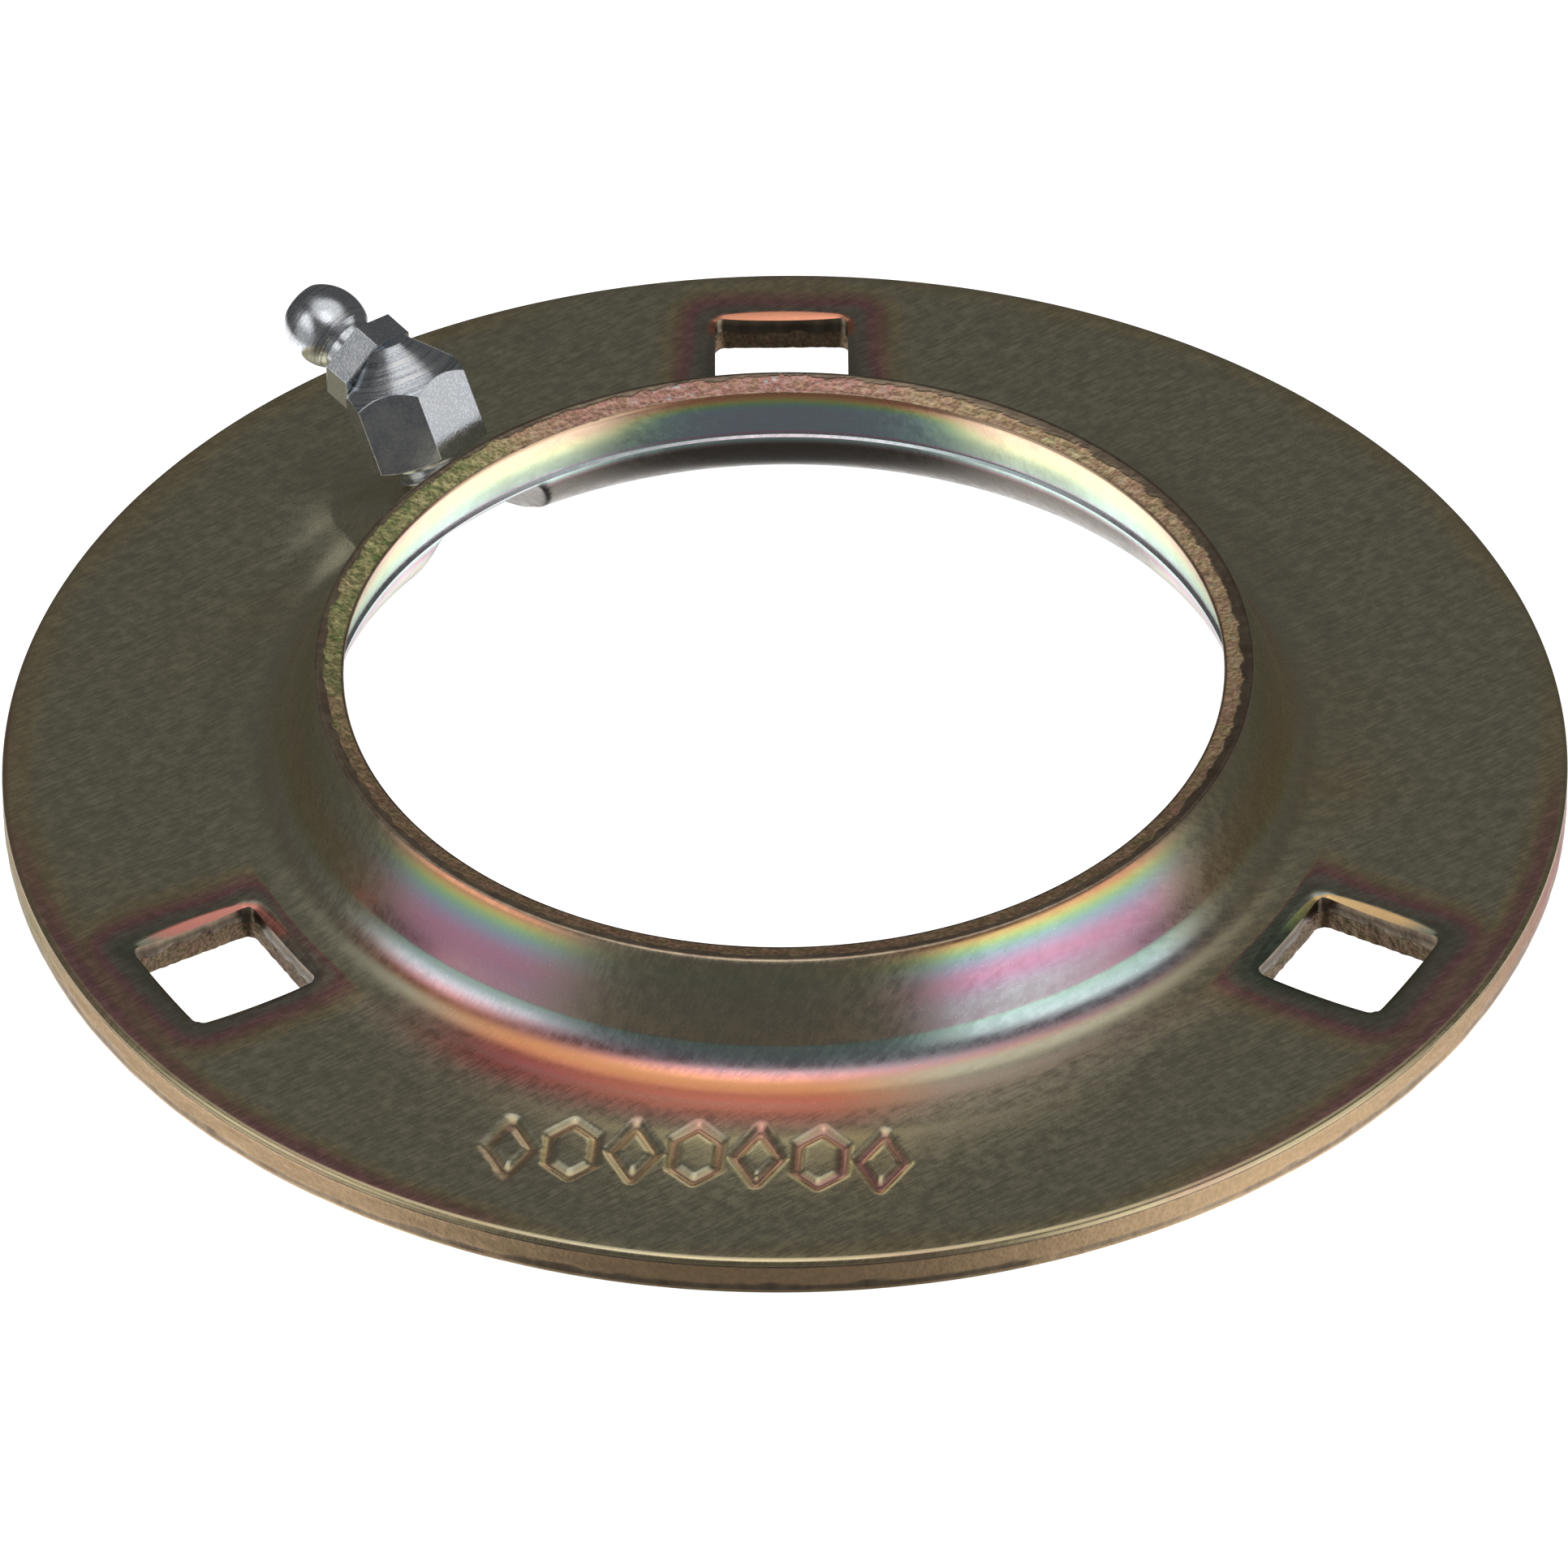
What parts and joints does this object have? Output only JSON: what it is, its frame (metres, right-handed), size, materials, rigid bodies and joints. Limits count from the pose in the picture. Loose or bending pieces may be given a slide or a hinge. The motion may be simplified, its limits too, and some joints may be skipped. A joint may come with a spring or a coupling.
{
  "type": "pressed flange bearing housing half",
  "caption": "Round pressed-steel flange housing half: plate with square bolt holes, raised collar with a spherical bearing seat, and an angled grease fitting.",
  "frame": {"origin": "on the bore axis, in the plane of the flat back face, which is also the centre of the spherical seat", "axes": "+Z along the bore axis from the back face towards the collar's lip; +Y from the bore axis towards one square bolt hole; the grease fitting is at 131 degrees from +X towards +Y"},
  "size_m": [0.122, 0.122, 0.0178],
  "materials": {
    "flange_zinc": "zinc plated with an iridescent olive and rainbow passivation, satin with a fine rolling grain",
    "fitting_zinc": "bright zinc plating over turned and hexagonal steel",
    "ball_steel": "polished hardened steel ball",
    "spring_steel": "drawn spring wire"
  },
  "bodies": {
    "housing": {"flange_plate": "flange_zinc", "elbow_body": "fitting_zinc", "nipple_head": "fitting_zinc", "check_spring": "spring_steel"},
    "valve_ball": {"check_ball": "ball_steel"}
  },
  "joints": [
    {"name": "check_ball_slide", "type": "slide", "parent": "housing", "child": "valve_ball", "axis": [0.6957, -0.669, -0.2615], "range_m": [0, 0.0012], "stiffness_N_per_m": 400, "springref_m": -0.001, "deforming": ["check_spring"]}
  ]
}
